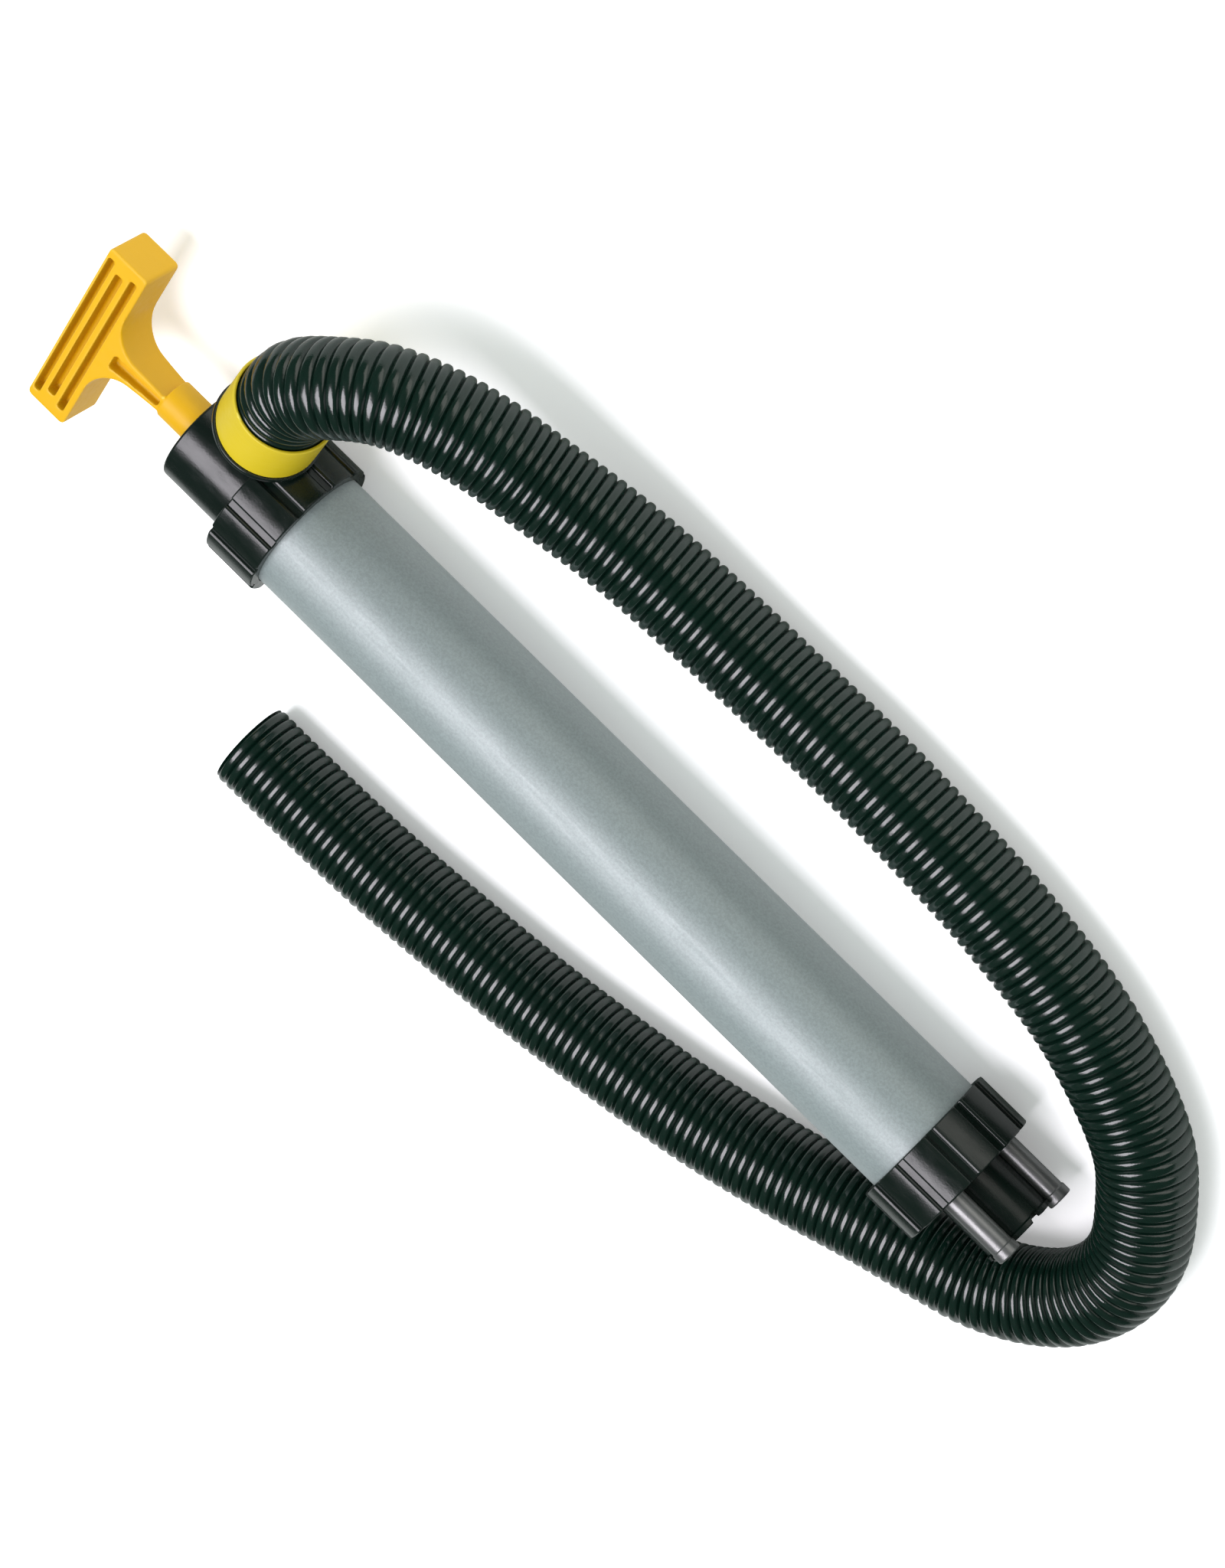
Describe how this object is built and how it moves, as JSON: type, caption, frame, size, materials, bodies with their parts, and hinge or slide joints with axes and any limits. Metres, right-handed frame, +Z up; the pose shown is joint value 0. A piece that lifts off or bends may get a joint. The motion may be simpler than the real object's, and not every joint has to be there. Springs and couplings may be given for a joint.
{
  "type": "manual bilge pump",
  "caption": "Hand-operated bilge pump: a straight metal barrel with screwed caps, a T-handled plunger, a stand-off foot and a side outlet with a corrugated hose.",
  "frame": {"origin": "middle of the bottom of the pump's box, measured without the hose: the pump lies on the plane z = 0", "axes": "+X along the barrel from the handle to the foot, +Y to the outlet's side, +Z up"},
  "size_m": [0.5306, 0.2405, 0.0725],
  "materials": {
    "tube_aluminium": "satin anodised, finely grained",
    "rod_aluminium": "bright drawn",
    "fitting_steel": "turned",
    "black_plastic": "semi-gloss moulded",
    "hose_plastic": "semi-gloss, corrugated",
    "handle_plastic": "semi-gloss moulded",
    "collar_plastic": "semi-gloss moulded",
    "nylon": "matt",
    "seal_rubber": "matt"
  },
  "bodies": {
    "barrel": {"pump_tube": "tube_aluminium", "upper_cap": "black_plastic", "lower_cap": "black_plastic", "upper_ferrule": "black_plastic", "lower_ferrule": "black_plastic", "upper_gasket": "seal_rubber", "lower_gasket": "seal_rubber", "head_housing": "black_plastic", "rod_bush": "nylon", "rod_seal": "seal_rubber", "hose_tail": "black_plastic", "hose_collar": "collar_plastic", "foot_housing": "black_plastic", "inlet_strainer": "black_plastic", "foot_valve_seat": "black_plastic", "foot_valve_guide": "fitting_steel", "discharge_hose": "hose_plastic"},
    "plunger": {"handle": "handle_plastic", "handle_pin": "fitting_steel", "piston_rod": "rod_aluminium", "rod_bumper": "seal_rubber", "valve_stop": "fitting_steel", "piston_body": "nylon", "piston_cup_seal": "seal_rubber", "piston_retainer": "nylon", "piston_nut": "fitting_steel"},
    "foot_valve": {"foot_valve_disc": "seal_rubber"},
    "piston_valve": {"piston_valve_disc": "seal_rubber"}
  },
  "joints": [
    {"name": "plunger_slide", "type": "slide", "parent": "barrel", "child": "plunger", "axis": [-1, 0, 0], "range_m": [0, 0.29]},
    {"name": "piston_valve_lift", "type": "slide", "parent": "plunger", "child": "piston_valve", "axis": [-1, 0, 0], "range_m": [0, 0.003]},
    {"name": "foot_valve_lift", "type": "slide", "parent": "barrel", "child": "foot_valve", "axis": [-1, 0, 0], "range_m": [0, 0.0048]}
  ]
}
